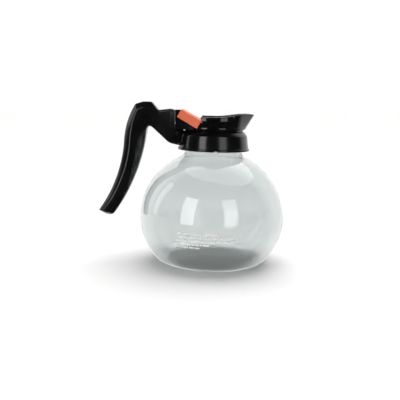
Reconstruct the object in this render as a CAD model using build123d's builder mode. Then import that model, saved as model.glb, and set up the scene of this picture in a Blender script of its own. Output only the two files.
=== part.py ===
from build123d import *
from math import asin, cos, degrees, radians, sin
import os

# Glass coffee decanter: a blown glass globe, a black moulded handle whose collar is clamped
# round the neck of the glass, a black pour top with a spout that plugs into the mouth, and
# an orange colour cap that snaps over the ramp at the back of the pour top.
# Millimetres. Z is up, the glass stands on Z = 0 and its axis is the Z axis.
# The handle points to -X and the spout to +X.

# Glass bowl
bowl_radius = 82.0
bowl_widest_z = 51.0
bowl_rise = 77.0
bowl_drop = 72.2
glass_wall = 1.8
heel_radius = 8.0
shoulder_angle = 56.0
waist_radius = 32.2
flare_radius = 34.0
waist_z = 128.0
rim_z = 143.5
rim_bead = 1.9

# Collar of the handle
collar_bottom_z = 128.0
collar_top_z = 149.0
collar_bore = 35.5
foot_radius = 40.4
foot_height = 2.4
foot_round = 0.6
shoulder_round = 3.0
collar_low_radius = 39.3
collar_high_radius = 37.4
collar_crown_radius = 33.9
shoulder_z = 144.6
collar_mouth = 31.9
ledge_z = 146.6
notch_width = 3.0
notch_height = 1.4
notch_x = 2.5
seat_gap = 0.1

# Clamp parts round the neck
cushion_bottom_z = 128.6
cushion_top_z = 140.4
band_bottom_z = 130.0
band_top_z = 139.0
band_radius = 34.8
band_thickness = 0.6
fit_gap = 0.05
ear_end_x = -45.5
ear_top_z = 149.4
ear_lift = 7.0
ear_width = 8.0
ear_gap = 0.2
slit_half_width = 1.3
slit_start_x = -25.0
slit_end_x = -49.0
slit_top_z = 155.0
screw_x = -41.2
screw_z = 146.2
screw_radius = 1.2
screw_head_radius = 2.1
screw_head_height = 1.8
screw_length = 22.6
head_seat_y = 10.2
nut_seat_y = 9.6
washer_thickness = 0.6
nut_side = 5.0
nut_thickness = 2.4

# Arm and grip
grip_half_width = 12.0
root_half_width = 13.0
shoulder_half_width = 15.5
arm_start_x = -66.0
arm_front_x = -43.8
arm_deck_z = 150.9
arm_low_z = 120.0
arm_high_z = 190.0

# Pour top
top_bottom_z = 151.6
top_height = 19.4
top_low_radius = 34.2
top_high_radius = 38.4
spout_low_radius = 28.0
spout_low_reach = 34.8
spout_high_radius = 6.5
spout_high_reach = 46.0
top_wall = 2.2
lip_z = 165.4
lip_radius = 39.3
lip_drop = 4.9
lip_start_x = -14.8
lip_end_x = 19.5
lip_slant = 2.5
lip_gap = 0.2
cheek_gap = 0.2
rim_start_x = -16.0
rim_rise_x = 2.0
spout_tip_z = 168.9
seat_radius = 32.9
plug_radius = 31.4
plug_tip_radius = 29.6
plug_step_z = 145.2
plug_bottom_z = 139.5
plug_bore = 27.4
seal_bottom_z = 140.6
seal_crown_z = 142.2
seal_top_z = 144.2
seal_edge_radius = 30.4
seal_crown_radius = 30.9

# Ramp at the back of the pour top, and the colour cap over it
ramp_slope = 28.0
ramp_origin = (-25.0, 0.0, 166.4)
cap_back = -13.2
cap_front = 12.3
cap_lip = 13.8
cap_height = 9.35
cap_back_half_width = 21.4
cap_front_half_width = 33.9
cap_wall = 1.8
cap_gap = 0.15
ramp_plate = 2.4
wedge_back_x = -43.1
wedge_bottom_z = 151.15
wedge_front = 9.0
stop_gap = 0.35
stop_half_width = 17.5
stop_tip_depth = 0.8
stop_foot = 6.0
skin_depth = cap_wall + cap_gap
core_depth = skin_depth + ramp_plate
cheek_flare = (cap_front_half_width - cap_back_half_width) / (cap_front - cap_back)


# The ramp plane has its X axis down the slope and its Z axis out of the slope.
ramp = Plane(
    origin=ramp_origin,
    x_dir=(cos(radians(ramp_slope)), 0, -sin(radians(ramp_slope))),
    z_dir=(sin(radians(ramp_slope)), 0, cos(radians(ramp_slope))),
)
big = 200.0

os.makedirs("parts", exist_ok=True)


def write(piece, label):
    """Label a finished piece and write its STEP file."""
    piece.part.label = label
    export_step(piece.part, "parts/" + label + ".step")


def saddle(back, front, inset, depth):
    """Trapezoid below the ramp by depth, in from the outside of the cap's cheeks by inset."""
    back_half = cap_back_half_width + cheek_flare * (back - cap_back) - inset
    front_half = cap_back_half_width + cheek_flare * (front - cap_back) - inset
    with BuildSketch(ramp.offset(-depth)) as outline:
        with BuildLine():
            Polyline(
                (back, back_half), (front, front_half), (front, -front_half), (back, -back_half),
                close=True,
            )
        make_face()
    return outline.sketch


def turned(points, mode=Mode.ADD):
    """Revolve a closed outline of (radius, z) points round the decanter's axis."""
    with BuildSketch(Plane.XZ) as outline:
        with BuildLine():
            Polyline(points, close=True)
        make_face()
    revolve(outline.sketch, axis=Axis.Z, mode=mode)


# ---------------------------------------------------------------- glass bowl
# Blown borosilicate globe with a flat foot, a waist under the collar and a beaded rim.


def globe(inset, rim_top, mode=Mode.ADD):
    """Solid of the globe and neck, drawn inside the outer skin by inset."""
    width = bowl_radius - inset
    drop = bowl_drop - inset
    base_angle = degrees(asin((bowl_widest_z - inset) / drop))
    middle = (0, bowl_widest_z)
    with BuildSketch(Plane.XZ) as outline:
        with BuildLine():
            low = EllipticalCenterArc(middle, width, drop, -base_angle, arc_size=base_angle)
            high = EllipticalCenterArc(
                middle, width, bowl_rise - inset, 0, arc_size=shoulder_angle
            )
            waist = (waist_radius - inset, waist_z)
            Spline(high @ 1, waist, tangents=(high % 1, (0, 1)))
            Polyline(waist, (flare_radius - inset, rim_top), (0, rim_top), (0, inset), low @ 0)
        make_face()
    revolve(outline.sketch, axis=Axis.Z, mode=mode)


with BuildPart() as glass_bowl:
    globe(0, rim_z)
    fillet(glass_bowl.edges().filter_by(GeomType.CIRCLE).group_by(Axis.Z)[0], heel_radius)
    with BuildSketch(Plane.XZ):
        with Locations((flare_radius - glass_wall / 2, rim_z)):
            Circle(rim_bead)
    revolve(axis=Axis.Z)
    globe(glass_wall, rim_z + rim_bead, Mode.SUBTRACT)
    inner_heel = glass_bowl.edges().filter_by(GeomType.CIRCLE).filter_by(
        lambda edge: abs(edge.center().Z - glass_wall) < 0.01
    )
    fillet(inner_heel, heel_radius - glass_wall)

write(glass_bowl, "glass_bowl")

# ---------------------------------------------------------------- neck cushion
# Silicone sleeve that keeps the steel band off the glass.

with BuildPart() as neck_cushion:
    flare = (flare_radius - waist_radius) / (rim_z - waist_z)
    turned(
        [
            (waist_radius + fit_gap + flare * (cushion_bottom_z - waist_z), cushion_bottom_z),
            (band_radius - fit_gap, cushion_bottom_z),
            (band_radius - fit_gap, cushion_top_z),
            (waist_radius + fit_gap + flare * (cushion_top_z - waist_z), cushion_top_z),
        ]
    )

write(neck_cushion, "neck_cushion")

# ---------------------------------------------------------------- clamp band
# Stainless strip bent round the neck, open at the back, with two ears that the screw draws
# together inside the slit of the handle.

with BuildPart() as clamp_band:
    with BuildSketch(Plane.XY.offset(band_bottom_z)):
        Circle(band_radius + band_thickness)
        Circle(band_radius, mode=Mode.SUBTRACT)
        Rectangle(
            big, 2 * (slit_half_width - ear_gap - band_thickness),
            align=(Align.MAX, Align.CENTER), mode=Mode.SUBTRACT,
        )
    extrude(amount=band_top_z - band_bottom_z)
    ear_root_x = -band_radius - band_thickness / 2
    for side in (-1, 1):
        ear_y = side * (slit_half_width - ear_gap)
        with BuildSketch(Plane.XZ.offset(-ear_y)):
            with BuildLine():
                Polyline(
                    (ear_root_x, band_bottom_z),
                    (ear_end_x, band_bottom_z + ear_lift),
                    (ear_end_x, ear_top_z),
                    (ear_end_x + ear_width, ear_top_z),
                    (ear_root_x, band_top_z),
                    close=True,
                )
            make_face()
            with Locations((screw_x, screw_z)):
                Circle(screw_radius + 0.3, mode=Mode.SUBTRACT)
        extrude(amount=side * band_thickness)

write(clamp_band, "clamp_band")

# ---------------------------------------------------------------- handle
# One black moulding: grip, arm and the collar that closes round the neck. A slit at the back
# of the collar lets the cross screw pinch it shut.

with BuildPart() as arm_envelope:
    with BuildSketch(Plane.XY.offset(-10)):
        with Locations((arm_start_x, 0)):
            Rectangle(big, 2 * grip_half_width, align=(Align.MAX, Align.CENTER))
    extrude(amount=big + 20)
    with BuildSketch(Plane.YZ.offset(arm_start_x)):
        with Locations((0, arm_low_z)):
            Rectangle(
                2 * grip_half_width, arm_high_z - arm_low_z,
                align=(Align.CENTER, Align.MIN),
            )
    with BuildSketch(Plane.YZ.offset(arm_front_x)):
        with BuildLine():
            Polyline(
                (-root_half_width, arm_low_z),
                (root_half_width, arm_low_z),
                (shoulder_half_width, arm_high_z),
                (-shoulder_half_width, arm_high_z),
                close=True,
            )
        make_face()
    loft(ruled=True)
    with BuildSketch(Plane.YZ.offset(arm_front_x)):
        with Locations((0, arm_low_z)):
            Rectangle(
                2 * root_half_width, arm_high_z - arm_low_z,
                align=(Align.CENTER, Align.MIN),
            )
    extrude(amount=-arm_front_x)

with BuildPart() as handle:
    with BuildSketch(Plane.XZ):
        with BuildLine():
            back_low = ThreePointArc((-129.0, 56.1), (-110.6, 91.0), (-101.2, 134.0))
            back_high = ThreePointArc(back_low @ 1, (-98.6, 153.0), (-90.8, 173.4))
            peak = FilletPolyline(
                back_high @ 1,
                (-88.6, 177.2),
                (-79.8, 180.0),
                (-70.4, 180.0),
                (-62.6, 171.0),
                (-49.0, 172.9),
                (arm_front_x, 171.4),
                radius=1.8,
            )
            deck = Polyline(
                peak @ 1,
                (arm_front_x, arm_deck_z),
                (-34.0, arm_deck_z),
                (-34.0, 131.6),
            )
            palm = ThreePointArc((-111.6, 52.6), (-88.6, 95.8), (-77.2, 137.0))
            under = FilletPolyline(
                deck @ 1, (-50.4, 135.2), (-74.2, 156.4), palm @ 1, radius=5.4
            )
            Polyline(palm @ 0, (-115.1, 50.6), (-123.2, 52.1), back_low @ 0)
        make_face()
    extrude(amount=30, both=True)
    add(arm_envelope.part, mode=Mode.INTERSECT)
    turned(
        [
            (0, collar_bottom_z),
            (foot_radius - foot_round, collar_bottom_z),
            (foot_radius, collar_bottom_z + foot_round),
            (foot_radius, collar_bottom_z + foot_height - foot_round),
            (collar_low_radius, collar_bottom_z + foot_height),
            (collar_high_radius, shoulder_z),
            (collar_crown_radius, collar_top_z),
            (0, collar_top_z),
        ]
    )
    turned(
        [
            (0, 0),
            (collar_bore, 0),
            (collar_bore, ledge_z),
            (collar_mouth, ledge_z),
            (collar_mouth, collar_top_z),
            (seat_radius + seat_gap, collar_top_z),
            (seat_radius + seat_gap, big),
            (0, big),
        ],
        mode=Mode.SUBTRACT,
    )
    shoulder = handle.edges().filter_by(GeomType.CIRCLE).filter_by(
        lambda edge: abs(edge.center().Z - shoulder_z) < 0.01
    )
    fillet(shoulder, shoulder_round)
    with BuildSketch(Plane.XZ):
        with Locations((notch_x, collar_bottom_z)):
            Rectangle(notch_width, 2 * notch_height)
    extrude(amount=big, both=True, mode=Mode.SUBTRACT)
    with BuildSketch(Plane.XY):
        with Locations((slit_end_x, 0)):
            Rectangle(
                slit_start_x - slit_end_x, 2 * slit_half_width,
                align=(Align.MIN, Align.CENTER),
            )
    extrude(amount=slit_top_z, mode=Mode.SUBTRACT)
    with BuildSketch(Plane.XZ):
        with Locations((screw_x, screw_z)):
            Circle(screw_radius + 0.2)
    extrude(amount=big, both=True, mode=Mode.SUBTRACT)
    with BuildSketch(Plane.XZ.offset(head_seat_y)):
        with Locations((screw_x, screw_z)):
            Circle(screw_head_radius + 0.2)
    extrude(amount=big, mode=Mode.SUBTRACT)
    with BuildSketch(Plane.XZ.offset(-nut_seat_y)):
        with Locations((screw_x, screw_z)):
            Rectangle(nut_side + 0.3, nut_side + 0.3)
    extrude(amount=-big, mode=Mode.SUBTRACT)

write(handle, "handle")

# ---------------------------------------------------------------- clamp fasteners
# M3 cheese-head screw across the arm, its washer, and the square nut on the far side.

with BuildPart() as clamp_washer:
    with BuildSketch(Plane.XZ.offset(head_seat_y)):
        with Locations((screw_x, screw_z)):
            Circle(screw_head_radius)
            Circle(screw_radius + 0.15, mode=Mode.SUBTRACT)
    extrude(amount=washer_thickness)

write(clamp_washer, "clamp_washer")

with BuildPart() as clamp_screw:
    with BuildSketch(Plane.XZ.offset(head_seat_y + washer_thickness)):
        with Locations((screw_x, screw_z)):
            Circle(screw_head_radius)
    extrude(amount=screw_head_height)
    with BuildSketch(Plane.XZ.offset(head_seat_y + washer_thickness)):
        with Locations((screw_x, screw_z)):
            Circle(screw_radius)
    extrude(amount=-screw_length)
    with BuildSketch(Plane.XZ.offset(head_seat_y + washer_thickness + screw_head_height)):
        with Locations((screw_x, screw_z)):
            Rectangle(2 * screw_head_radius, 0.8)
    extrude(amount=-0.9, mode=Mode.SUBTRACT)

write(clamp_screw, "clamp_screw")

with BuildPart() as clamp_nut:
    with BuildSketch(Plane.XZ.offset(-nut_seat_y)):
        with Locations((screw_x, screw_z)):
            Rectangle(nut_side, nut_side)
            Circle(screw_radius + 0.02, mode=Mode.SUBTRACT)
    extrude(amount=-nut_thickness)

write(clamp_nut, "clamp_nut")

# ---------------------------------------------------------------- rim gasket
# Flat silicone ring between the rim of the glass and the ledge of the collar.

with BuildPart() as rim_gasket:
    gasket_low_z = rim_z + rim_bead + fit_gap
    with BuildSketch(Plane.XY.offset(gasket_low_z)):
        Circle(collar_bore - fit_gap)
        Circle(plug_radius + 0.4, mode=Mode.SUBTRACT)
    extrude(amount=ledge_z - fit_gap - gasket_low_z)

write(rim_gasket, "rim_gasket")

# ---------------------------------------------------------------- pour top
# Black funnel with a rolled lip and a spout, a plug that enters the mouth of the glass, and a
# ramp over the back of the mouth that carries the colour cap.


def beak(z, inset):
    """Face at height z round the funnel's circle and the smaller circle of the spout's nose."""
    share = (z - top_bottom_z) / top_height
    round_radius = top_low_radius + share * (top_high_radius - top_low_radius)
    nose_radius = spout_low_radius + share * (spout_high_radius - spout_low_radius)
    reach = spout_low_reach + share * (spout_high_reach - spout_low_reach)
    with BuildSketch(Plane.XY.offset(z)) as outline:
        Circle(round_radius - inset)
        with Locations((reach - nose_radius, 0)):
            Circle(nose_radius - inset)
        make_hull()
    return outline.sketch


top_of_blank = top_bottom_z + top_height

with BuildPart() as outer_funnel:
    loft([beak(top_bottom_z, 0), beak(top_of_blank, 0)], ruled=True)
    with BuildSketch(Plane.XY.offset(lip_z)):
        with Locations((rim_start_x, 0)):
            Rectangle(big, big, align=(Align.MAX, Align.CENTER))
    extrude(amount=big, mode=Mode.SUBTRACT)

with BuildPart() as inner_funnel:
    loft([beak(top_bottom_z + 2.0, top_wall), beak(top_of_blank, top_wall)], ruled=True)

with BuildPart() as wedge:
    top_face = saddle(cap_back + skin_depth, wedge_front, skin_depth, skin_depth)
    extrude(top_face, amount=-big)
    with BuildSketch(Plane.XY.offset(wedge_bottom_z)):
        Rectangle(2 * big, 2 * big)
    extrude(amount=-big, mode=Mode.SUBTRACT)
    with BuildSketch(Plane.YZ.offset(wedge_back_x)):
        Rectangle(2 * big, 2 * big)
    extrude(amount=-big, mode=Mode.SUBTRACT)

with BuildPart() as wedge_core:
    core_face = saddle(
        cap_back + skin_depth + ramp_plate, wedge_front - ramp_plate, cap_wall + ramp_plate,
        core_depth,
    )
    extrude(core_face, amount=-big)
    with BuildSketch(Plane.YZ.offset(wedge_back_x + ramp_plate)):
        Rectangle(2 * big, 2 * big)
    extrude(amount=-big, mode=Mode.SUBTRACT)
    add(outer_funnel.part, mode=Mode.SUBTRACT)
    with BuildSketch(Plane.XY.offset(top_bottom_z - 1)):
        Circle(top_low_radius + 1.0)
    extrude(amount=-big, mode=Mode.SUBTRACT)

stop_low = ramp.from_local_coords(Vector(cap_back - stop_gap, 0, -cap_height - stop_gap))
stop_high = ramp.from_local_coords(Vector(cap_back - stop_gap, 0, -stop_tip_depth))
stop_root = ramp.from_local_coords(Vector(cap_back + 2 * cap_wall, 0, -cap_height - stop_gap))

with BuildPart() as back_stop:
    with BuildSketch(Plane.XZ):
        with BuildLine():
            Polyline(
                (wedge_back_x, stop_low.Z - stop_foot),
                (wedge_back_x, stop_high.Z),
                (stop_high.X, stop_high.Z),
                (stop_low.X, stop_low.Z),
                (stop_root.X, stop_root.Z),
                (stop_root.X, stop_low.Z - stop_foot),
                close=True,
            )
        make_face()
    extrude(amount=stop_half_width, both=True)

with BuildPart() as cheek_slot:
    slot_depth = cap_height + cheek_gap
    extrude(
        saddle(cap_back - cheek_gap, cap_front + cheek_gap, -cheek_gap, slot_depth), amount=big
    )
    between_cheeks = saddle(cap_back + skin_depth, big, skin_depth, slot_depth)
    extrude(between_cheeks, amount=big, mode=Mode.SUBTRACT)

with BuildPart() as mouth_space:
    add(inner_funnel.part)
    with BuildSketch(ramp.offset(-core_depth)):
        with Locations((cap_lip, 0)):
            Rectangle(big, big, align=(Align.MAX, Align.CENTER))
    extrude(amount=big, mode=Mode.SUBTRACT)

with BuildPart() as pour_top:
    add(outer_funnel.part)
    with BuildSketch(Plane.XZ):
        with BuildLine():
            Polyline(
                (0, lip_z - lip_drop),
                (lip_radius - 1.2, lip_z - lip_drop),
                (lip_radius, lip_z - lip_drop + 1.2),
                (lip_radius, lip_z - 1.2),
                (lip_radius - 1.2, lip_z),
                (0, lip_z),
                close=True,
            )
        make_face()
    revolve(axis=Axis.Z)
    with BuildSketch(Plane.XZ):
        with BuildLine():
            Polyline(
                (lip_end_x - lip_slant, lip_z - lip_drop - 0.5),
                (lip_end_x, lip_z + 0.5),
                (big, lip_z + 0.5),
                (big, lip_z - lip_drop - 0.5),
                close=True,
            )
        make_face()
    extrude(amount=big, both=True, mode=Mode.SUBTRACT)
    with BuildSketch(Plane.XY.offset(top_bottom_z)):
        with Locations((lip_start_x, 0)):
            Rectangle(big, big, align=(Align.MAX, Align.CENTER))
    extrude(amount=big, mode=Mode.SUBTRACT)
    add(outer_funnel.part)
    turned(
        [
            (0, collar_top_z + seat_gap),
            (seat_radius, collar_top_z + seat_gap),
            (seat_radius, top_bottom_z),
            (top_low_radius - 0.4, top_bottom_z - 0.4),
            (top_low_radius + 0.9, top_bottom_z + 0.4),
            (top_low_radius + 0.9, top_bottom_z + 2.0),
            (top_low_radius, top_bottom_z + 3.0),
            (0, top_bottom_z + 3.0),
        ]
    )
    add(wedge.part)
    with BuildSketch(ramp.offset(-skin_depth)):
        with Locations((cap_lip + lip_gap, 0)):
            Rectangle(
                big, 2 * (cap_front_half_width + cheek_gap), align=(Align.MAX, Align.CENTER)
            )
    extrude(amount=big, mode=Mode.SUBTRACT)
    add(cheek_slot.part, mode=Mode.SUBTRACT)
    add(back_stop.part)
    with BuildSketch(Plane.XZ):
        with BuildLine():
            rim_run = Line((rim_start_x, lip_z), (rim_rise_x, lip_z))
            rim_rise = Spline(
                rim_run @ 1, (24.0, 167.9), (36.0, 169.4), (46.0, spout_tip_z),
                tangents=((1, 0), (1, -0.2)),
            )
            Polyline(rim_rise @ 1, (big, spout_tip_z), (big, big), (rim_start_x, big), rim_run @ 0)
        make_face()
    extrude(amount=big, both=True, mode=Mode.SUBTRACT)
    turned(
        [
            (0, plug_bottom_z),
            (plug_tip_radius, plug_bottom_z),
            (plug_tip_radius, plug_step_z),
            (plug_radius, plug_step_z + 0.6),
            (plug_radius, top_bottom_z),
            (0, top_bottom_z),
        ]
    )
    add(mouth_space.part, mode=Mode.SUBTRACT)
    turned(
        [
            (0, 0),
            (plug_bore, 0),
            (plug_bore, collar_top_z + 1.0),
            (top_low_radius - top_wall, top_bottom_z + 2.0),
            (0, top_bottom_z + 2.0),
        ],
        mode=Mode.SUBTRACT,
    )
    add(wedge_core.part, mode=Mode.SUBTRACT)

write(pour_top, "pour_top")

# ---------------------------------------------------------------- plug seal
# Soft ring round the tip of the plug, just inside the mouth of the glass.

with BuildPart() as plug_seal:
    turned(
        [
            (plug_tip_radius + fit_gap, seal_bottom_z),
            (seal_edge_radius, seal_bottom_z),
            (seal_crown_radius, seal_crown_z),
            (seal_edge_radius, seal_top_z),
            (plug_tip_radius + fit_gap, seal_top_z),
        ]
    )

write(plug_seal, "plug_seal")

# ---------------------------------------------------------------- colour cap
# Orange saddle over the ramp: a sloping plate with a cheek down each side and a front lip.

with BuildPart() as colour_cap:
    extrude(saddle(cap_back, cap_front, 0, 0), amount=-cap_height)
    hollow = saddle(cap_back + cap_wall, big, cap_wall, cap_wall)
    extrude(hollow, amount=-big, mode=Mode.SUBTRACT)
    with BuildSketch(ramp):
        with Locations((cap_front, 0)):
            Rectangle(
                cap_lip - cap_front, 2 * cap_front_half_width,
                align=(Align.MIN, Align.CENTER),
            )
    extrude(amount=-cap_wall)

write(colour_cap, "colour_cap")
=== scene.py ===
import math

import bmesh
import bpy
import numpy as np
from mathutils import Matrix, Vector


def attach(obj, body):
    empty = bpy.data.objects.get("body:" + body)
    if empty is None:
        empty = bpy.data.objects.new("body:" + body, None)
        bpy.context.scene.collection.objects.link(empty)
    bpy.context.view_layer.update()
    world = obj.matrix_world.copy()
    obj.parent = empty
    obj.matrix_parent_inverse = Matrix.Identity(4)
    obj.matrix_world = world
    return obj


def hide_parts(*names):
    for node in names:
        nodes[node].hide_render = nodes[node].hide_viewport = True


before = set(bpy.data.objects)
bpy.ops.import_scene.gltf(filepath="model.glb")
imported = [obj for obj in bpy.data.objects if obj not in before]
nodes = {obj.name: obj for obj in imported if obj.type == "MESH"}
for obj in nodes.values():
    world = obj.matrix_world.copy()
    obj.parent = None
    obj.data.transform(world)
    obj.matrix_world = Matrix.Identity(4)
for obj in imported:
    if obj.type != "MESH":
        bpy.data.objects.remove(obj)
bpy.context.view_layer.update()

MM = 0.001

# ---------------------------------------------------------------- glass bowl
# A globe of blown borosilicate glass on a small flat foot. The neck draws in to a waist, flares
# again and ends in a fire-polished bead. The wall is drawn as one closed skin, outside and inside.
bowl_radius = 82.0
bowl_middle_z = 51.0
bowl_rise = 77.0
bowl_drop = 72.2
bowl_wall = 1.8
foot_flat_radius = 50.0
heel_start_z = 6.0
waist_radius = 32.2
waist_z = 128.0
flare_radius = 34.0
rim_z = 143.5
rim_bead_radius = 1.9
shoulder_angle = math.radians(56.0)


def curve_between(start, start_way, end, end_way, reach, count):
    """Cubic with end handles of length reach: (1-t)^3 A + 3(1-t)^2 t B + 3(1-t) t^2 C + t^3 D."""
    a = np.array(start, float)
    d = np.array(end, float)
    b = a + reach * np.array(start_way, float) / np.linalg.norm(start_way)
    c = d - reach * np.array(end_way, float) / np.linalg.norm(end_way)
    t = np.linspace(0, 1, count)[:, None]
    return (1 - t) ** 3 * a + 3 * (1 - t) ** 2 * t * b + 3 * (1 - t) * t**2 * c + t**3 * d


def bowl_skin(inset):
    """Outline of (radius, z) from the foot's centre to the top of the neck, moved inwards by inset.
    The globe is radius = R cos a, z = M + H sin a, with one height above the middle and one below."""
    width = bowl_radius - inset
    drop = bowl_drop - inset
    rise = bowl_rise - inset
    low = math.asin((bowl_middle_z - heel_start_z) / drop)
    below = np.linspace(-low, 0, 46)
    above = np.linspace(0, shoulder_angle, 46)[1:]
    under = np.stack([width * np.cos(below), bowl_middle_z + drop * np.sin(below)], 1)
    over = np.stack([width * np.cos(above), bowl_middle_z + rise * np.sin(above)], 1)
    heel_way = (width * math.sin(low), drop * math.cos(low))
    heel = curve_between((foot_flat_radius, inset), (1, 0), under[0], heel_way, 5.2, 14)[:-1]
    foot = np.stack([np.linspace(0, foot_flat_radius, 8)[:-1], np.full(7, inset)], 1)
    top_way = (-width * math.sin(shoulder_angle), rise * math.cos(shoulder_angle))
    waist = (waist_radius - inset, waist_z)
    throat = curve_between(over[-1], top_way, waist, (0, 1), 7.4, 22)[1:]
    neck = np.linspace(waist, (flare_radius - inset, rim_z), 10)[1:]
    return np.concatenate([foot, heel, under, over, throat, neck])


def turned_mesh(name, outline, around, closed=False):
    """Surface of revolution: (r cos a, r sin a, z) for each outline point and each angle a.
    A closed outline joins up with itself. An open one starts and ends on the axis, in two poles."""
    outline = np.asarray(outline, float) * MM
    angles = np.linspace(0, 2 * np.pi, around, endpoint=False)
    rings = outline if closed else outline[1:-1]
    points = np.stack(
        [
            rings[:, :1] * np.cos(angles),
            rings[:, :1] * np.sin(angles),
            np.repeat(rings[:, 1:], around, 1),
        ],
        2,
    ).reshape(-1, 3)
    count = len(rings)
    here = np.arange(count if closed else count - 1)[:, None] * around
    step = np.arange(around)[None, :]
    turn = (step + 1) % around
    above = (here + around) % (count * around)
    quads = np.stack([here + step, here + turn, above + turn, above + step], 2).reshape(-1, 4)
    faces = quads.tolist()
    if not closed:
        low, high = len(points), len(points) + 1
        ends = [(0, 0, outline[0, 1]), (0, 0, outline[-1, 1])]
        points = np.concatenate([points, ends])
        last = (count - 1) * around
        ring = np.arange(around)
        after = (ring + 1) % around
        first_fan = np.stack([np.full(around, low), after, ring], 1)
        last_fan = np.stack([last + ring, last + after, np.full(around, high)], 1)
        faces += first_fan.tolist() + last_fan.tolist()
    mesh = bpy.data.meshes.new(name)
    mesh.from_pydata(points.tolist(), [], faces)
    mesh.shade_smooth()
    piece = bpy.data.objects.new(name, mesh)
    bpy.context.scene.collection.objects.link(piece)
    return piece


bead_turn = np.linspace(-0.35 * np.pi, 1.35 * np.pi, 26)
rim_bead = np.stack(
    [
        flare_radius - bowl_wall / 2 + rim_bead_radius * np.cos(bead_turn),
        rim_z + rim_bead_radius * np.sin(bead_turn),
    ],
    1,
)
outer_skin = bowl_skin(0.0)
inner_skin = bowl_skin(bowl_wall)[::-1]
under_bead = rim_z - rim_bead_radius
bowl_outline = np.concatenate(
    [outer_skin[outer_skin[:, 1] < under_bead], rim_bead, inner_skin[inner_skin[:, 1] < under_bead]]
)
bowl = turned_mesh("decanter_glass", bowl_outline, 224)


def sockets(group, side, names):
    """Add the group's named sockets on one side, in order."""
    for name, kind, value in names:
        made = group.interface.new_socket(name=name, in_out=side, socket_type="NodeSocket" + kind)
        if value is not None:
            made.default_value = value


def smears_group():
    """Finger smears and slow unevenness of a handled surface, as a mask and a height.
    mask = ramp(coarse noise x stretched noise), height = slow noise of the same place."""
    group = bpy.data.node_groups.new("handled_smears", "ShaderNodeTree")
    sockets(group, "INPUT", [("Size", "Float", 20.0), ("Stretch", "Float", 3.0)])
    sockets(group, "OUTPUT", [("Mask", "Float", None), ("Height", "Float", None)])
    make = group.nodes.new
    link = group.links.new
    given = make("NodeGroupInput")
    result = make("NodeGroupOutput")
    place = make("ShaderNodeTexCoord")
    spread = make("ShaderNodeVectorMath")
    spread.operation = "MULTIPLY"
    combine = make("ShaderNodeCombineXYZ")
    combine.inputs[0].default_value = 1.0
    combine.inputs[1].default_value = 1.0
    link(given.outputs["Stretch"], combine.inputs[2])
    link(place.outputs["Object"], spread.inputs[0])
    link(combine.outputs[0], spread.inputs[1])
    coarse = make("ShaderNodeTexNoise")
    coarse.inputs["Detail"].default_value = 3.0
    link(given.outputs["Size"], coarse.inputs["Scale"])
    link(place.outputs["Object"], coarse.inputs["Vector"])
    fine = make("ShaderNodeTexNoise")
    fine.inputs["Detail"].default_value = 6.0
    fine.inputs["Roughness"].default_value = 0.62
    finer = make("ShaderNodeMath")
    finer.operation = "MULTIPLY"
    finer.inputs[1].default_value = 6.0
    link(given.outputs["Size"], finer.inputs[0])
    link(finer.outputs[0], fine.inputs["Scale"])
    link(spread.outputs[0], fine.inputs["Vector"])
    both = make("ShaderNodeMath")
    both.operation = "MULTIPLY"
    link(coarse.outputs["Fac"], both.inputs[0])
    link(fine.outputs["Fac"], both.inputs[1])
    ramp = make("ShaderNodeMapRange")
    ramp.inputs["From Min"].default_value = 0.22
    ramp.inputs["From Max"].default_value = 0.36
    link(both.outputs[0], ramp.inputs["Value"])
    link(ramp.outputs["Result"], result.inputs["Mask"])
    link(coarse.outputs["Fac"], result.inputs["Height"])
    return group


smears = smears_group()


def new_material(name, colour, **values):
    """A new material, its node tree and its Principled shader, with the given values set."""
    material = bpy.data.materials.new(name)
    material.use_nodes = True
    tree = material.node_tree
    shader = tree.nodes["Principled BSDF"]
    shader.inputs["Base Color"].default_value = (*colour, 1.0)
    for key, value in values.items():
        shader.inputs[key.replace("_", " ").title().replace("Ior", "IOR")].default_value = value
    return material, tree, shader


def bump_on(tree, shader, height, strength, distance):
    """Feed a height output into the shader's normal through a Bump node."""
    bump = tree.nodes.new("ShaderNodeBump")
    bump.inputs["Strength"].default_value = strength
    bump.inputs["Distance"].default_value = distance
    tree.links.new(height, bump.inputs["Height"])
    tree.links.new(bump.outputs["Normal"], shader.inputs["Normal"])


def glass_material():
    """Clear glass with a faint green cast, slow waves of the blown wall and a few finger smears."""
    material, tree, shader = new_material(
        "blown_glass", (0.775, 0.803, 0.80), roughness=0.0, ior=1.47, transmission_weight=1.0
    )
    touched = tree.nodes.new("ShaderNodeGroup")
    touched.node_tree = smears
    touched.inputs["Size"].default_value = 16.0
    haze = tree.nodes.new("ShaderNodeMapRange")
    haze.inputs["To Min"].default_value = 0.0
    haze.inputs["To Max"].default_value = 0.035
    tree.links.new(touched.outputs["Mask"], haze.inputs["Value"])
    tree.links.new(haze.outputs["Result"], shader.inputs["Roughness"])
    bump_on(tree, shader, touched.outputs["Height"], 0.25, 0.0012)
    return material


bowl.data.materials.append(glass_material())
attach(bowl, "decanter")
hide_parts("glass_bowl")

# ---------------------------------------------------------------- printed panel
# White ceramic ink fired on the outside of the glass, low on the side that faces the user. Plain
# bars of word length stand in for the print. There is no lettering.
print_rows = [
    # height, then the first and last angle in degrees
    (46.8, -25.0, 5.0),
    (42.9, -25.0, 20.0),
    (39.1, -26.0, 20.0),
    (35.3, -27.5, -1.0),
    (32.0, -28.0, -8.0),
]
ink_height = 1.6
ink_lift = 0.03
word_lengths = np.random.default_rng(7).uniform(2.0, 7.5, 120)
word_gap = 1.1
bar_columns = 5


def globe_radius(z):
    """Radius of the globe at height z: R sqrt(1 - ((z - M) / H)^2), H being the side's own height."""
    z = np.asarray(z, float)
    half = np.where(z < bowl_middle_z, bowl_drop, bowl_rise)
    return bowl_radius * np.sqrt(1 - ((z - bowl_middle_z) / half) ** 2)


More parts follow.
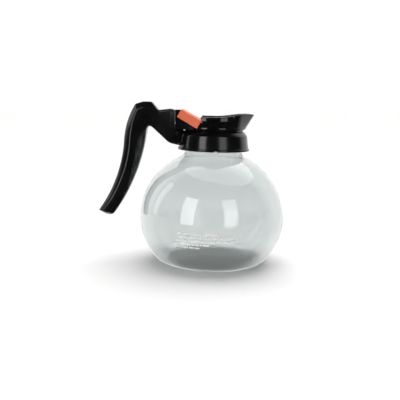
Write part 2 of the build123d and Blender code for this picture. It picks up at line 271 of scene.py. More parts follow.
def printed_bars():
    """Each bar is a strip of the globe's skin between two angles and two heights, lifted by the ink."""
    points = []
    faces = []
    word = 0
    for row_z, first, last in print_rows:
        radius = float(globe_radius(row_z))
        at = math.radians(first)
        while at < math.radians(last):
            length = word_lengths[word]
            word += 1
            end = min(at + length / radius, math.radians(last))
            angle = np.linspace(at, end, bar_columns)
            level = row_z + np.array([-0.5, 0.5]) * ink_height
            ring = globe_radius(level)[:, None] + ink_lift
            start = len(points)
            x = ring * np.sin(angle)
            y = -ring * np.cos(angle)
            z = np.repeat(level[:, None], bar_columns, 1)
            points += (np.stack([x, y, z], 2).reshape(-1, 3) * MM).tolist()
            for low in range(start, start + bar_columns - 1):
                faces.append([low, low + 1, low + bar_columns + 1, low + bar_columns])
            at = end + word_gap / radius
    mesh = bpy.data.meshes.new("printed_marks")
    mesh.from_pydata(points, [], faces)
    mesh.shade_smooth()
    piece = bpy.data.objects.new("printed_marks", mesh)
    bpy.context.scene.collection.objects.link(piece)
    return piece


marks = printed_bars()
ink, *_ = new_material("white_ink", (0.86, 0.86, 0.85), roughness=0.5)
marks.data.materials.append(ink)
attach(marks, "decanter")

# ---------------------------------------------------------------- handle
# One black moulding: a faceted grip, the arm with its thumb rest, and the collar that closes round
# the neck. The slit at the back and the cross bore let the screw pinch the collar shut.
arc_rows = 40


def arc_through(a, b, c, count):
    """Circle arc from a through b to c, as points at equal steps of angle."""
    (ax, az), (bx, bz), (cx, cz) = a, b, c
    d = 2 * (ax * (bz - cz) + bx * (cz - az) + cx * (az - bz))
    sa, sb, sc = ax**2 + az**2, bx**2 + bz**2, cx**2 + cz**2
    ux = (sa * (bz - cz) + sb * (cz - az) + sc * (az - bz)) / d
    uz = (sa * (cx - bx) + sb * (ax - cx) + sc * (bx - ax)) / d
    start = math.atan2(az - uz, ax - ux)
    middle = math.atan2(bz - uz, bx - ux)
    end = math.atan2(cz - uz, cx - ux)
    half = (middle - start + np.pi) % (2 * np.pi) - np.pi
    rest = (end - middle + np.pi) % (2 * np.pi) - np.pi
    angle = start + np.linspace(0, half + rest, count)
    radius = math.hypot(ax - ux, az - uz)
    return np.stack([ux + radius * np.cos(angle), uz + radius * np.sin(angle)], 1)


def softened(corners, radius, count=5):
    """Corner rounding for a stack of polylines: each corner C becomes the curve
    (1-t)^2 A + 2(1-t)t C + t^2 B, with A and B a radius away along its two sides."""
    corners = np.asarray(corners, float)
    before = corners[..., :-2, :] - corners[..., 1:-1, :]
    after = corners[..., 2:, :] - corners[..., 1:-1, :]
    size_a = np.linalg.norm(before, axis=-1, keepdims=True)
    size_b = np.linalg.norm(after, axis=-1, keepdims=True)
    middle = corners[..., 1:-1, :]
    reach = np.minimum(radius, 0.45 * np.minimum(size_a, size_b))
    a = middle + before / np.maximum(size_a, 1e-9) * reach
    b = middle + after / np.maximum(size_b, 1e-9) * reach
    t = np.linspace(0, 1, count)[:, None]
    curve = (1 - t) ** 2 * a[..., None, :] + 2 * (1 - t) * t * middle[..., None, :]
    curve = curve + t**2 * b[..., None, :]
    curve = curve.reshape(*corners.shape[:-2], -1, 2)
    return np.concatenate([corners[..., :1, :], curve, corners[..., -1:, :]], -2)


def along(line, share):
    """Points at given shares of a polyline's length."""
    length = np.concatenate([[0], np.cumsum(np.linalg.norm(np.diff(line, axis=0), axis=1))])
    length /= length[-1]
    return np.stack([np.interp(share, length, line[:, 0]), np.interp(share, length, line[:, 1])], 1)


def share_of(line, point):
    """Share of a polyline's length at its point nearest to the given one."""
    fine = along(line, np.linspace(0, 1, 2001))
    return np.argmin(np.linalg.norm(fine - np.array(point), axis=1)) / 2000


back_line = np.concatenate(
    [
        arc_through((-129.0, 56.1), (-110.6, 91.0), (-101.2, 134.0), arc_rows),
        arc_through((-101.2, 134.0), (-98.6, 153.0), (-90.8, 173.4), arc_rows)[1:-1],
        softened(
            [
                (-90.8, 173.4), (-88.6, 177.2), (-79.8, 180.0), (-70.4, 180.0),
                (-62.6, 171.0), (-49.0, 172.9), (-43.8, 171.4),
            ],
            1.6,
        ),
    ]
)
palm_line = np.concatenate(
    [
        arc_through((-111.6, 52.6), (-88.6, 95.8), (-77.2, 137.0), arc_rows),
        softened([(-77.2, 137.0), (-74.2, 156.4), (-50.4, 135.2), (-43.8, 133.5)], 12.0, 14)[1:],
    ]
)
# Each line is one section of the handle, from the tip to the front of the arm: a point on the back,
# a point on the palm side, then the half widths and depths of its facets, from the back inwards.
sections = [
    # back point, palm point, flat, depth, crease, middle, depth, crease, flat
    ((-129.0, 56.1), (-111.6, 52.6), 7.0, 3.6, 10.6, 11.0, 2.0, 10.8, 9.6),
    ((-120.1, 70.9), (-103.2, 66.3), 7.0, 4.6, 11.6, 12.0, 2.0, 11.8, 10.4),
    ((-111.1, 89.9), (-94.3, 84.2), 6.8, 5.6, 12.0, 12.0, 3.0, 12.0, 9.6),
    ((-105.0, 108.5), (-85.2, 104.0), 6.5, 6.4, 12.0, 12.0, 6.0, 12.0, 7.6),
    ((-101.2, 134.0), (-78.3, 129.0), 6.2, 6.8, 12.0, 12.0, 8.4, 12.0, 6.0),
    ((-98.6, 153.0), (-77.2, 137.0), 6.2, 7.0, 12.0, 12.0, 8.0, 12.0, 6.4),
    ((-90.8, 173.4), (-76.3, 143.0), 6.4, 6.6, 12.0, 12.0, 5.0, 12.0, 8.0),
    ((-79.8, 180.0), (-74.0, 147.2), 7.0, 6.2, 12.0, 12.0, 3.6, 12.0, 9.0),
    ((-70.4, 180.0), (-71.0, 148.9), 7.6, 5.4, 12.0, 12.0, 3.2, 12.0, 9.4),
    ((-62.6, 171.0), (-64.6, 147.2), 10.6, 1.8, 12.6, 12.2, 3.0, 12.0, 9.8),
    ((-49.0, 172.9), (-50.4, 136.0), 12.8, 1.6, 14.4, 12.8, 3.0, 12.6, 10.4),
    ((-43.8, 171.4), (-43.8, 133.5), 13.8, 1.5, 15.4, 13.4, 3.0, 13.0, 11.0),
]
station_count = 170
deck_z = 150.9
arm_end_x = -34.0
root_start_x = -45.0
tip_back = (-123.2, 52.1)
tip_palm = (-115.1, 50.6)
facet_round = 1.5


def faceted_sections(back, palm, widths):
    """Closed rings. A ring runs along the line from its back point to its palm point, with its half
    outline (depth along the line, half width) rounded at each crease and mirrored."""
    flat, depth, crease, middle, low_depth, low_crease, low_flat = widths.T
    size = np.linalg.norm(palm - back, axis=1)
    nought = np.zeros_like(size)
    across = [nought, flat, crease, middle, low_crease, low_flat, nought]
    deep = [nought, nought, depth, 0.5 * size, size - low_depth, size, size]
    half = softened(np.stack([np.stack(deep, 1), np.stack(across, 1)], 2), facet_round)
    ring = np.concatenate([half, half[:, -2:0:-1] * np.array([1, -1])], 1)
    way = (palm - back) / size[:, None]
    x = back[:, None, 0] + ring[:, :, 0] * way[:, None, 0]
    z = back[:, None, 1] + ring[:, :, 0] * way[:, None, 1]
    return np.stack([x, ring[:, :, 1], z], 2)


def tube(name, rings):
    """Closed skin through a stack of rings (row, point, xyz), with a flat face at each end."""
    rows, around = rings.shape[:2]
    here = np.arange(rows - 1)[:, None] * around
    step = np.arange(around)[None, :]
    turn = (step + 1) % around
    quads = np.stack([here + step, here + turn, here + around + turn, here + around + step], 2)
    last = (rows - 1) * around
    faces = quads.reshape(-1, 4).tolist()
    faces += [list(range(around)), list(range(last, last + around))]
    mesh = bpy.data.meshes.new(name)
    mesh.from_pydata((rings.reshape(-1, 3) * MM).tolist(), [], faces)
    piece = bpy.data.objects.new(name, mesh)
    bpy.context.scene.collection.objects.link(piece)
    return piece


def handle_arm():
    """Grip and arm: the sections' places on the back and palm lines, and their facets, are
    interpolated between the rows of the table. A shrunken ring rounds off the tip."""
    keys = np.linspace(0, 1, len(sections))
    back_share = np.array([share_of(back_line, row[0]) for row in sections])
    palm_share = np.array([share_of(palm_line, row[1]) for row in sections])
    facets = np.array([row[2:] for row in sections], float)
    station = np.linspace(0, 1, station_count)
    back = along(back_line, np.interp(station, keys, back_share))
    palm = along(palm_line, np.interp(station, keys, palm_share))
    widths = np.stack([np.interp(station, keys, facets[:, k]) for k in range(7)], 1)
    rings = faceted_sections(back, palm, widths)
    share = (rings[0, :, 0] - back[0, 0]) / (palm[0, 0] - back[0, 0])
    tip_x = tip_back[0] + (tip_palm[0] - tip_back[0]) * share
    tip_z = tip_back[1] + (tip_palm[1] - tip_back[1]) * share
    tip = np.stack([tip_x, rings[0, :, 1] * 0.6, tip_z], 1)
    return tube("handle_arm", np.concatenate([tip[None], rings]))


def arm_root():
    """Low part of the arm that runs on into the collar, as two rings."""
    back = np.array([(root_start_x, deck_z), (arm_end_x, deck_z)])
    palm = np.array([(root_start_x, 133.9), (arm_end_x, 131.7)])
    widths = np.array([[12.4, 0.8, 13.0, 13.0, 3.0, 13.0, 11.0]] * 2)
    return tube("arm_root", faceted_sections(back, palm, widths))


def face_out(piece):
    """Merge doubles, then turn every face of a closed mesh outwards."""
    work = bmesh.new()
    work.from_mesh(piece.data)
    bmesh.ops.remove_doubles(work, verts=work.verts, dist=1e-6)
    bmesh.ops.recalc_face_normals(work, faces=work.faces)
    work.to_mesh(piece.data)
    work.free()


def block(name, low, high):
    """Closed box between two corners, in millimetres, used to cut another piece."""
    corners = np.array(np.meshgrid(*zip(low, high), indexing="ij")).reshape(3, -1).T * MM
    faces = [(0, 1, 3, 2), (4, 6, 7, 5), (0, 4, 5, 1), (2, 3, 7, 6), (0, 2, 6, 4), (1, 5, 7, 3)]
    mesh = bpy.data.meshes.new(name)
    mesh.from_pydata(corners.tolist(), [], faces)
    piece = bpy.data.objects.new(name, mesh)
    bpy.context.scene.collection.objects.link(piece)
    face_out(piece)
    return piece


def rod(name, radius, place, start_y, end_y, sides=40):
    """Closed cylinder along Y, in millimetres, used to cut another piece."""
    piece = turned_mesh(name, [(0, start_y), (radius, start_y), (radius, end_y), (0, end_y)], sides)
    turn = Matrix.Rotation(math.radians(-90), 4, "X")
    piece.data.transform(Matrix.Translation((place[0] * MM, 0, place[1] * MM)) @ turn)
    face_out(piece)
    return piece


def joined(piece, other, operation):
    """Exact boolean of two closed pieces. The other piece is used up."""
    change = piece.modifiers.new("shape", "BOOLEAN")
    change.operation = operation
    change.solver = "EXACT"
    change.object = other
    bpy.context.view_layer.update()
    made = bpy.data.meshes.new_from_object(piece.evaluated_get(bpy.context.evaluated_depsgraph_get()))
    piece.modifiers.clear()
    piece.data = made
    bpy.data.objects.remove(other)
    face_out(piece)


def crisp(piece, degrees_sharp):
    """Smooth shading, kept sharp where two faces meet at more than the given angle."""
    piece.data.shade_smooth()
    piece.data.set_sharp_from_angle(angle=math.radians(degrees_sharp))


collar_line = softened(
    [
        (35.5, 146.6), (35.5, 128.0), (40.4, 128.0), (40.4, 130.4), (39.3, 130.6),
        (38.75, 134.5), (38.0, 140.5), (37.4, 144.6), (33.9, 149.0), (31.9, 149.0),
    ],
    0.7,
)[1:]
collar_line = np.concatenate([[(35.5, 146.6)], collar_line[:-1], [(31.9, 149.0), (31.9, 146.6)]])
collar_bore_radius = 35.5
collar_ledge_z = 146.6
screw_place = (-41.2, 146.2)
screw_bore_radius = 1.4
head_room_radius = 2.3
head_seat_y = -10.2
slit_low, slit_high = (-49.0, -1.3, 120.0), (-25.0, 1.3, 155.0)
# The nut's room stands a hair off the screw's axis, so that no two faces of the cuts coincide.
nut_room_low, nut_room_high = (-43.87, 9.61, 143.57), (-38.52, 26.0, 148.88)
notch_low, notch_high = (1.0, -60.0, 126.0), (4.0, 60.0, 129.4)
cut_reach = 30
handle = handle_arm()
face_out(handle)
root = arm_root()
face_out(root)
joined(handle, root, "UNION")
collar = turned_mesh("collar_ring", collar_line, 160, closed=True)
face_out(collar)
bore_line = [
    (0, 120), (collar_bore_radius, 120), (collar_bore_radius, collar_ledge_z), (0, collar_ledge_z)
]
bore = turned_mesh("collar_bore", bore_line, 160)
face_out(bore)
joined(handle, bore, "DIFFERENCE")
joined(handle, collar, "UNION")
joined(handle, block("slit", slit_low, slit_high), "DIFFERENCE")
screw_bore = rod("screw_bore", screw_bore_radius, screw_place, -cut_reach, cut_reach)
joined(handle, screw_bore, "DIFFERENCE")
head_recess = rod("head_recess", head_room_radius, screw_place, -cut_reach, head_seat_y)
joined(handle, head_recess, "DIFFERENCE")
joined(handle, block("nut_recess", nut_room_low, nut_room_high), "DIFFERENCE")
joined(handle, block("front_notch", notch_low, notch_high), "DIFFERENCE")
handle.name = "handle_moulding"
crisp(handle, 32)


def wear_group():
    """Colour, roughness and height of a moulded plastic skin: a slow cloud shifts the colour,
    stretched fine noise gives hairline scuffs, and a close grain gives the mould's texture."""
    group = bpy.data.node_groups.new("moulded_skin", "ShaderNodeTree")
    sockets(
        group,
        "INPUT",
        [
            ("Colour", "Color", (0.02, 0.02, 0.02, 1)),
            ("Worn Colour", "Color", (0.05, 0.05, 0.05, 1)),
            ("Gloss", "Float", 0.2),
            ("Dull", "Float", 0.4),
            ("Grain", "Float", 900.0),
            ("Scuffs", "Float", 0.5),
        ],
    )
    made = [("Colour", "Color", None), ("Roughness", "Float", None), ("Height", "Float", None)]
    sockets(group, "OUTPUT", made)
    make = group.nodes.new
    link = group.links.new
    given = make("NodeGroupInput")
    result = make("NodeGroupOutput")
    place = make("ShaderNodeTexCoord")
    cloud = make("ShaderNodeTexNoise")
    cloud.inputs["Scale"].default_value = 34.0
    cloud.inputs["Detail"].default_value = 5.0
    link(place.outputs["Object"], cloud.inputs["Vector"])
    turned = make("ShaderNodeMapping")
    turned.inputs["Rotation"].default_value = (0.5, 0.35, 0.8)
    turned.inputs["Scale"].default_value = (1.0, 1.0, 0.06)
    link(place.outputs["Object"], turned.inputs["Vector"])
    hair = make("ShaderNodeTexNoise")
    hair.inputs["Scale"].default_value = 520.0
    hair.inputs["Detail"].default_value = 3.0
    link(turned.outputs[0], hair.inputs["Vector"])
    lines = make("ShaderNodeMapRange")
    lines.inputs["From Min"].default_value = 0.66
    lines.inputs["From Max"].default_value = 0.74
    link(hair.outputs["Fac"], lines.inputs["Value"])
    scuffed = make("ShaderNodeMath")
    scuffed.operation = "MULTIPLY"
    link(lines.outputs["Result"], scuffed.inputs[0])
    link(given.outputs["Scuffs"], scuffed.inputs[1])
    patches = make("ShaderNodeMapRange")
    patches.inputs["From Min"].default_value = 0.35
    patches.inputs["From Max"].default_value = 0.75
    link(cloud.outputs["Fac"], patches.inputs["Value"])
    worn = make("ShaderNodeMath")
    worn.operation = "MAXIMUM"
    link(patches.outputs["Result"], worn.inputs[0])
    link(scuffed.outputs[0], worn.inputs[1])
    tint = make("ShaderNodeMix")
    tint.data_type = "RGBA"
    link(worn.outputs[0], tint.inputs["Factor"])
    link(given.outputs["Colour"], tint.inputs["A"])
    link(given.outputs["Worn Colour"], tint.inputs["B"])
    link(tint.outputs["Result"], result.inputs["Colour"])
    shine = make("ShaderNodeMix")
    link(worn.outputs[0], shine.inputs["Factor"])
    link(given.outputs["Gloss"], shine.inputs["A"])
    link(given.outputs["Dull"], shine.inputs["B"])
    link(shine.outputs["Result"], result.inputs["Roughness"])
    grain = make("ShaderNodeTexNoise")
    grain.inputs["Detail"].default_value = 2.0
    link(place.outputs["Object"], grain.inputs["Vector"])
    link(given.outputs["Grain"], grain.inputs["Scale"])
    lowered = make("ShaderNodeMath")
    lowered.operation = "SUBTRACT"
    link(grain.outputs["Fac"], lowered.inputs[0])
    link(scuffed.outputs[0], lowered.inputs[1])
    link(lowered.outputs[0], result.inputs["Height"])
    return group


moulded_skin = wear_group()


def plastic_material(name, colour, worn, gloss, dull, grain, scuffs, strength):
    """A moulded plastic: its own colours and roughness on the shared moulded skin."""
    material, tree, shader = new_material(name, colour, roughness=gloss, ior=1.5)
    skin = tree.nodes.new("ShaderNodeGroup")
    skin.node_tree = moulded_skin
    skin.inputs["Colour"].default_value = (*colour, 1)
    skin.inputs["Worn Colour"].default_value = (*worn, 1)
    skin.inputs["Gloss"].default_value = gloss
    skin.inputs["Dull"].default_value = dull
    skin.inputs["Grain"].default_value = grain
    skin.inputs["Scuffs"].default_value = scuffs
    tree.links.new(skin.outputs["Colour"], shader.inputs["Base Color"])
    tree.links.new(skin.outputs["Roughness"], shader.inputs["Roughness"])
    bump_on(tree, shader, skin.outputs["Height"], strength, 0.0002)
    return material


handle_black = plastic_material(
    "black_handle_plastic",
    (0.0035, 0.0037, 0.0037),
    (0.007, 0.0073, 0.0075),
    gloss=0.14,
    dull=0.24,
    grain=1500.0,
    scuffs=0.3,
    strength=0.08,
)
handle.data.materials.clear()
handle.data.materials.append(handle_black)
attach(handle, "decanter")
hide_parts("handle")

# ---------------------------------------------------------------- neck clamp
# A stainless band with two ears, drawn together by a slotted screw of blackened steel with its
# washer and square nut. The parts sit inside the collar, and only the screw's ends show.


def steel_material():
    """Stainless steel with fine drawn lines and slightly uneven polish."""
    material, tree, shader = new_material(
        "stainless_steel", (0.58, 0.58, 0.57), metallic=1.0, roughness=0.28
    )
    touched = tree.nodes.new("ShaderNodeGroup")
    touched.node_tree = smears
    touched.inputs["Size"].default_value = 160.0
    touched.inputs["Stretch"].default_value = 14.0
    dull = tree.nodes.new("ShaderNodeMapRange")
    dull.inputs["To Min"].default_value = 0.22
    dull.inputs["To Max"].default_value = 0.42
    tree.links.new(touched.outputs["Mask"], dull.inputs["Value"])
    tree.links.new(dull.outputs["Result"], shader.inputs["Roughness"])
    bump_on(tree, shader, touched.outputs["Mask"], 0.15, 0.0001)
    return material


def finish_node(name, material):
    """Give a CAD node its finished material."""
    slots = nodes[name].data.materials
    slots.clear()
    slots.append(material)


def blackened_material():
    """Blackened steel, rubbed a little brighter where a tool has touched it."""
    material, tree, shader = new_material(
        "blackened_steel", (0.045, 0.045, 0.047), metallic=1.0, roughness=0.38
    )
    touched = tree.nodes.new("ShaderNodeGroup")
    touched.node_tree = smears
    touched.inputs["Size"].default_value = 420.0
    touched.inputs["Stretch"].default_value = 2.0
    rubbed = tree.nodes.new("ShaderNodeMix")
    rubbed.data_type = "RGBA"
    rubbed.inputs["A"].default_value = (0.04, 0.04, 0.042, 1)
    rubbed.inputs["B"].default_value = (0.11, 0.11, 0.112, 1)
    tree.links.new(touched.outputs["Mask"], rubbed.inputs["Factor"])
    tree.links.new(rubbed.outputs["Result"], shader.inputs["Base Color"])
    bump_on(tree, shader, touched.outputs["Mask"], 0.15, 0.0001)
    return material


finish_node("clamp_band", steel_material())
blackened = blackened_material()
for part in ("clamp_screw", "clamp_washer", "clamp_nut"):
    finish_node(part, blackened)

# ---------------------------------------------------------------- silicone parts
# Moulded silicone: the sleeve between band and glass, the flat ring under the collar's ledge and
# the soft ring round the plug of the pour top.
silicone = plastic_material(
    "dark_silicone",
    (0.022, 0.022, 0.023),
    (0.045, 0.044, 0.043),
    gloss=0.55,
    dull=0.75,
    grain=700.0,
    scuffs=0.1,
    strength=0.15,
)
for part in ("neck_cushion", "rim_gasket", "plug_seal"):
    finish_node(part, silicone)

# ---------------------------------------------------------------- pour top
# Glossy black moulding: a funnel with a rolled lip and a drawn-out spout, its plug below, and the
# ramp at the back that carries the colour cap. It is pushed into the mouth of the glass.
funnel_low_z = 151.6
funnel_height = 19.4
funnel_radius = (34.2, 38.4)
nose_radius = (28.0, 6.5)
nose_reach = (34.8, 46.0)
funnel_wall = 2.2
lip_radius = 39.3
lip_start_x = -14.8
lip_low_z = 160.5
slope = math.radians(28.0)
ramp_frame = Matrix(
    (
        (math.cos(slope), 0, math.sin(slope), -25.0),
        (0, 1, 0, 0),
        (-math.sin(slope), 0, math.cos(slope), 166.4),
        (0, 0, 0, 1),
    )
)
cap_back, cap_front = -13.2, 12.3
cap_half_widths = (21.4, 33.9)
cap_height = 9.35
cap_wall = 1.8
cheek_gap = 0.2
ramp_plate = 2.4
skin_depth = 1.95
plate_depth = 4.35
ramp_room_front = 14.0
wedge_back_x = -43.1
wedge_bottom_z = 151.15
wedge_front = 9.0
stop_half = 17.5
stop_gap = 0.35
stop_tip_depth = 0.8
stop_foot = 6.0
funnel_columns = 210
rim_line_x = [2, 8, 16, 24, 30, 36, 41, 46]
rim_line_z = [165.4, 165.7, 166.7, 167.9, 168.8, 169.4, 169.3, 168.9]


def smooth_step(value, low, high):
    """0 below low, 1 above high, and 3t^2 - 2t^3 between."""
    t = np.clip((value - low) / (high - low), 0, 1)
    return t * t * (3 - 2 * t)


def beak_points(z, out):
    """Funnel outline at heights z (row, column), moved out by out. Round the back it is a circle,
    round the nose a smaller one, and the common tangents of the two join them."""
    share = (z - funnel_low_z) / funnel_height
    grown = (funnel_radius, nose_radius, nose_reach)
    big, small, reach = (pair[0] + share * (pair[1] - pair[0]) for pair in grown)
    middle = reach - small
    touch = np.arccos((big - small) / middle)
    nose = np.linspace(-1, 1, 49)
    straight = np.linspace(0, 1, 12)[1:-1]
    back = np.linspace(0, 1, 141)
    kind = np.concatenate([np.zeros(49), np.ones(10), np.full(141, 2), np.full(10, 3)])
    place = np.concatenate([nose, straight, back, straight])
    nose_x = middle + (small + out) * np.cos(place * touch)
    nose_y = (small + out) * np.sin(place * touch)
    turn = touch + place * (2 * np.pi - 2 * touch)
    back_x = (big + out) * np.cos(turn)
    back_y = (big + out) * np.sin(turn)
    from_x = middle + (small + out) * np.cos(touch)
    from_y = (small + out) * np.sin(touch)
    to_x = (big + out) * np.cos(touch)
    to_y = (big + out) * np.sin(touch)
    run_x, run_y = to_x - from_x, to_y - from_y
    stretch = [kind == 0, kind == 1, kind == 2]
    x = np.select(stretch, [nose_x, from_x + place * run_x, back_x], to_x - place * run_x)
    y = np.select(stretch, [nose_y, from_y + place * run_y, back_y], -to_y + place * run_y)
    return np.stack([x, y, z + 0 * x], -1)


def funnel_shell():
    """Closed wall of the funnel. Heights follow the rim line, which climbs towards the spout. The
    lip stands out to its own radius above a lower edge that sweeps up and dies out at the spout."""
    columns = funnel_columns
    top = np.full((1, columns), funnel_low_z + funnel_height)
    x = beak_points(top, 0.0)[0, :, 0]
    rim = np.interp(x, rim_line_x, rim_line_z)
    lip_low = lip_low_z + smooth_step(x, 17.5, 22.5) * (rim - 0.4 - lip_low_z)
    lip_on = smooth_step(x, lip_start_x - 1.2, lip_start_x + 0.4)
    lip_on = lip_on * (1 - smooth_step(x, 19.0, 23.0))
    low = np.linspace(0, 1, 10)[:, None]
    edge = np.linspace(0, 1, 8)[:, None]
    high = np.linspace(0, 1, 10)[1:, None]
    outer = np.concatenate(
        [
            funnel_low_z + low * (lip_low - 0.7 - funnel_low_z),
            lip_low - 0.6 + edge * 1.2,
            lip_low + 0.6 + high * np.maximum(rim - 1.3 - lip_low - 0.6, 0.02),
        ]
    )
    outer = np.minimum(outer, rim - 1.2 + 0.02 * np.arange(len(outer))[:, None] / len(outer))
    share = (outer - funnel_low_z) / funnel_height
    stand = lip_radius - (funnel_radius[0] + share * (funnel_radius[1] - funnel_radius[0]))
    swell = smooth_step(outer, lip_low - 0.6, lip_low + 0.6)
    lip_out = np.maximum(stand, 0) * swell * lip_on
    shell = [beak_points(outer, lip_out)]
    around = np.linspace(0, np.pi, 9)[:, None]
    half = (lip_out[-1:] + funnel_wall) / 2
    crown_z = rim - 1.2 + 1.2 * np.sin(around)
    shell.append(beak_points(crown_z, lip_out[-1:] - half + half * np.cos(around)))
    inner = rim - 1.3 + np.linspace(0, 1, 16)[1:, None] * (funnel_low_z - rim + 1.3)
    shell.append(beak_points(inner, -funnel_wall))
    points = np.concatenate(shell)
    rows = len(points)
    here = np.arange(rows)[:, None] * columns
    step = np.arange(columns)[None, :]
    turn = (step + 1) % columns
    above = (here + columns) % (rows * columns)
    quads = np.stack([here + step, here + turn, above + turn, above + step], 2).reshape(-1, 4)
    mesh = bpy.data.meshes.new("funnel")
    mesh.from_pydata((points.reshape(-1, 3) * MM).tolist(), [], quads.tolist())
    piece = bpy.data.objects.new("funnel", mesh)
    bpy.context.scene.collection.objects.link(piece)
    face_out(piece)
    return piece


def ramp_block(name, back, front, inset, top, bottom):
    """Closed block in the ramp's frame, whose cheeks run out towards the front as the cap's do."""
    flare = (cap_half_widths[1] - cap_half_widths[0]) / (cap_front - cap_back)
    corners = []
    for level in (bottom, top):
        for run in (back, front):
            half = cap_half_widths[0] + flare * (run - cap_back) - inset
            corners += [(run, -half, level), (run, half, level)]
    corners = [tuple(ramp_frame @ Vector(c) * MM) for c in corners]
    faces = [(0, 1, 3, 2), (4, 6, 7, 5), (0, 4, 5, 1), (2, 3, 7, 6), (0, 2, 6, 4), (1, 5, 7, 3)]
    mesh = bpy.data.meshes.new(name)
    mesh.from_pydata(corners, [], faces)
    piece = bpy.data.objects.new(name, mesh)
    bpy.context.scene.collection.objects.link(piece)
    face_out(piece)
    return piece


def ramp_cut(name, front, depth, half=90.0):
    """Everything above the ramp by more than -depth, as far forwards as front and out to half."""
    piece = block(name, (-90.0, -half, -depth), (front, half, 90.0))
    placed = Matrix.Scale(MM, 4) @ ramp_frame @ Matrix.Scale(1 / MM, 4)
    piece.data.transform(placed)
    return piece


far = 60.0
wedge_back = cap_back + skin_depth
wedge = ramp_block("wedge", wedge_back, wedge_front, skin_depth, -skin_depth, -far)
wedge_room = block("wedge_room", (wedge_back_x, -far, wedge_bottom_z), (0.0, far, 190.0))
joined(wedge, wedge_room, "INTERSECT")
core_inset = cap_wall + ramp_plate
core_back, core_front = cap_back + plate_depth, wedge_front - ramp_plate
core = ramp_block("core", core_back, core_front, core_inset, -plate_depth, -70.0)
joined(wedge, core, "DIFFERENCE")
inside_levels = np.array([[150.5], [175.0]]) + np.zeros((1, funnel_columns))
inside = tube("inside", beak_points(inside_levels, -funnel_wall))
face_out(inside)
joined(inside, ramp_cut("plate_room", 30.0, plate_depth), "DIFFERENCE")
joined(wedge, inside, "DIFFERENCE")

stop_run, stop_depth = cap_back - stop_gap, cap_height + stop_gap
stop_root = cap_back + 2 * cap_wall
stop_side = [(stop_run, -stop_tip_depth), (stop_run, -stop_depth), (stop_root, -stop_depth)]
stop_placed = [ramp_frame @ Vector((run, 0, level)) for run, level in stop_side]
stop_points = [(place.x, place.z) for place in stop_placed]
foot_z = stop_points[1][1] - stop_foot
stop_outline = [
    (wedge_back_x, foot_z), (wedge_back_x, stop_points[0][1]), *stop_points, (stop_points[2][0], foot_z)
]
stop_rings = np.array([[(x, y, z) for x, z in stop_outline] for y in (-stop_half, stop_half)])
back_stop = tube("back_stop", stop_rings)
face_out(back_stop)

pour = funnel_shell()
ramp_room_half = cap_half_widths[1] + cheek_gap
ramp_room = ramp_cut("ramp_room", ramp_room_front, skin_depth, ramp_room_half)
joined(pour, ramp_room, "DIFFERENCE")
slot_back, slot_front = cap_back - cheek_gap, cap_front + cheek_gap
slot_floor = -cap_height - cheek_gap
cheek_slot = ramp_block("cheek_slot", slot_back, slot_front, -cheek_gap, far, slot_floor)
between = ramp_block("between", wedge_back, far, skin_depth, 70.0, -70.0)
joined(cheek_slot, between, "DIFFERENCE")
joined(pour, cheek_slot, "DIFFERENCE")
joined(pour, wedge, "UNION")
joined(pour, back_stop, "UNION")
plug_line = softened(
    [
        (27.4, 143.0), (27.4, 139.5), (29.6, 139.5), (29.6, 145.2), (31.4, 145.8), (31.4, 149.1),
        (32.9, 149.1), (32.9, 151.3), (33.8, 151.2), (35.2, 151.9), (35.2, 153.7), (34.3, 154.7),
        (32.1, 154.8), (31.9, 153.6), (27.4, 150.0), (27.4, 143.2),
    ],
    0.5,
)
plug = turned_mesh("plug", plug_line, 180, closed=True)
face_out(plug)
joined(pour, plug, "UNION")
pour.name = "pour_top_moulding"
crisp(pour, 34)
top_black = plastic_material(
    "black_top_plastic",
    (0.003, 0.003, 0.0032),
    (0.006, 0.006, 0.0065),
    gloss=0.06,
    dull=0.12,
    grain=500.0,
    scuffs=0.2,
    strength=0.03,
)
pour.data.materials.clear()
pour.data.materials.append(top_black)
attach(pour, "top")
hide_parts("pour_top")

# ---------------------------------------------------------------- colour cap
# Orange matte moulding that snaps over the ramp: a sloping plate, a cheek down each side and a lip
# at the front. Its edges are broken by the mould.


def rounded_edges(piece, width):
    """Bevel every edge of a closed block, and keep the result in its mesh."""
    change = piece.modifiers.new("edges", "BEVEL")
    change.width = width * MM
    change.segments = 4
    change.limit_method = "NONE"
    bpy.context.view_layer.update()
    made = bpy.data.meshes.new_from_object(piece.evaluated_get(bpy.context.evaluated_depsgraph_get()))
    piece.modifiers.clear()
    piece.data = made


cap = ramp_block("cap_outside", cap_back, cap_front, 0.0, 0.0, -cap_height)
rounded_edges(cap, 0.7)
cap_inside = ramp_block("cap_inside", cap_back + cap_wall, far, cap_wall, -cap_wall, -far)
joined(cap, cap_inside, "DIFFERENCE")
lip = block("cap_lip", (11.0, -33.2, -1.75), (13.8, 33.2, -0.05))
lip.data.transform(Matrix.Scale(MM, 4) @ ramp_frame @ Matrix.Scale(1 / MM, 4))
rounded_edges(lip, 0.35)
joined(cap, lip, "UNION")
cap.name = "colour_cap_moulding"
cap_orange = plastic_material(
    "orange_cap_plastic",
    (0.80, 0.155, 0.062),
    (0.74, 0.135, 0.055),
    gloss=0.42,
    dull=0.55,
    grain=1200.0,
    scuffs=0.15,
    strength=0.10,
)
cap.data.materials.clear()
cap.data.materials.append(cap_orange)
crisp(cap, 30)
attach(cap, "cap")
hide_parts("colour_cap")

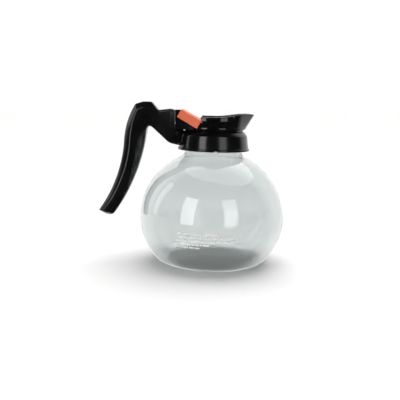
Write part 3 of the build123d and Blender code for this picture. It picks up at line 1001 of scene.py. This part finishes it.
# ---------------------------------------------------------------- floor, light and camera
# A plain pale floor, a surround that is white behind the decanter and dark in front of it, three
# upright soft boxes and a wide overhead light. Floor and overhead light stay out of reflections.
floor_mesh = bpy.data.meshes.new("floor")
floor_near, floor_far = 0.75, 14.0
floor_mesh.from_pydata(
    [
        (-floor_far, -floor_near, 0),
        (floor_far, -floor_near, 0),
        (floor_far, floor_far, 0),
        (-floor_far, floor_far, 0),
    ],
    [],
    [(0, 1, 2, 3)],
)
floor = bpy.data.objects.new("floor", floor_mesh)
bpy.context.scene.collection.objects.link(floor)
pale, *_ = new_material("pale_floor", (0.86, 0.86, 0.855), roughness=0.7)
floor.data.materials.append(pale)
floor.visible_glossy = False

surround = bpy.data.worlds.new("white_surround")
surround.use_nodes = True
sky = surround.node_tree
sky.nodes["Background"].inputs["Color"].default_value = (1.0, 1.0, 1.0, 1.0)
room_dark, room_bright = 0.012, 1.1
backdrop_white = 1.05
way = sky.nodes.new("ShaderNodeTexCoord")
parts = sky.nodes.new("ShaderNodeSeparateXYZ")
fade = sky.nodes.new("ShaderNodeMapRange")
fade.inputs["From Min"].default_value = 0.10
fade.inputs["From Max"].default_value = 0.45
fade.inputs["To Min"].default_value = room_dark
fade.inputs["To Max"].default_value = room_bright
seen = sky.nodes.new("ShaderNodeLightPath")
pick = sky.nodes.new("ShaderNodeMix")
pick.inputs["B"].default_value = backdrop_white
sky.links.new(way.outputs["Generated"], parts.inputs[0])
sky.links.new(parts.outputs["Y"], fade.inputs["Value"])
sky.links.new(seen.outputs["Is Camera Ray"], pick.inputs["Factor"])
sky.links.new(fade.outputs["Result"], pick.inputs["A"])
sky.links.new(pick.outputs["Result"], sky.nodes["Background"].inputs["Strength"])
bpy.context.scene.world = surround


def soft_box(name, azimuth, elevation, distance, width, height, power):
    """Area light that looks at the middle of the decanter from the given direction (0 is -Y)."""
    a, e = math.radians(azimuth), math.radians(elevation)
    aim = Vector((0, 0, 0.09))
    way = Vector((math.sin(a) * math.cos(e), -math.cos(a) * math.cos(e), math.sin(e)))
    data = bpy.data.lights.new(name, "AREA")
    data.shape = "RECTANGLE"
    data.size = width
    data.size_y = height
    data.energy = power
    lamp = bpy.data.objects.new(name, data)
    turned = way.to_track_quat("Z", "Y").to_matrix().to_4x4()
    lamp.matrix_world = Matrix.Translation(aim + way * distance) @ turned
    bpy.context.scene.collection.objects.link(lamp)


soft_box("left_box", -37.0, 17.0, 1.5, 0.56, 1.2, 7.4)
soft_box("right_box", 31.0, 17.0, 1.5, 0.60, 1.2, 4.6)
soft_box("far_left_box", -98.0, 20.0, 1.6, 0.30, 1.2, 1.6)

overhead = bpy.data.lights.new("overhead", "SUN")
overhead.energy = 2.6
overhead.angle = math.radians(70)
overhead_lamp = bpy.data.objects.new("overhead", overhead)
overhead_lamp.rotation_euler = (math.radians(-18), math.radians(8), 0)
overhead_lamp.visible_glossy = False
bpy.context.scene.collection.objects.link(overhead_lamp)

camera_data = bpy.data.cameras.new("camera")
camera_data.lens = 54.0
camera_data.sensor_width = 36.0
camera = bpy.data.objects.new("camera", camera_data)
camera_place = (0, -0.6807, 0.18175)
yaw, pitch, roll = -0.020, 0.163, 0.029
forward = Vector((math.sin(yaw) * math.cos(pitch), math.cos(yaw) * math.cos(pitch), -math.sin(pitch)))
side = Vector((math.cos(yaw), -math.sin(yaw), 0))
upward = side.cross(forward)
rolled_side = math.cos(roll) * side + math.sin(roll) * upward
rolled_up = -math.sin(roll) * side + math.cos(roll) * upward
turn = Matrix((rolled_side, rolled_up, -forward)).transposed().to_4x4()
camera.matrix_world = Matrix.Translation(camera_place) @ turn
bpy.context.scene.collection.objects.link(camera)
bpy.context.scene.camera = camera
bpy.context.scene.view_settings.view_transform = "Standard"
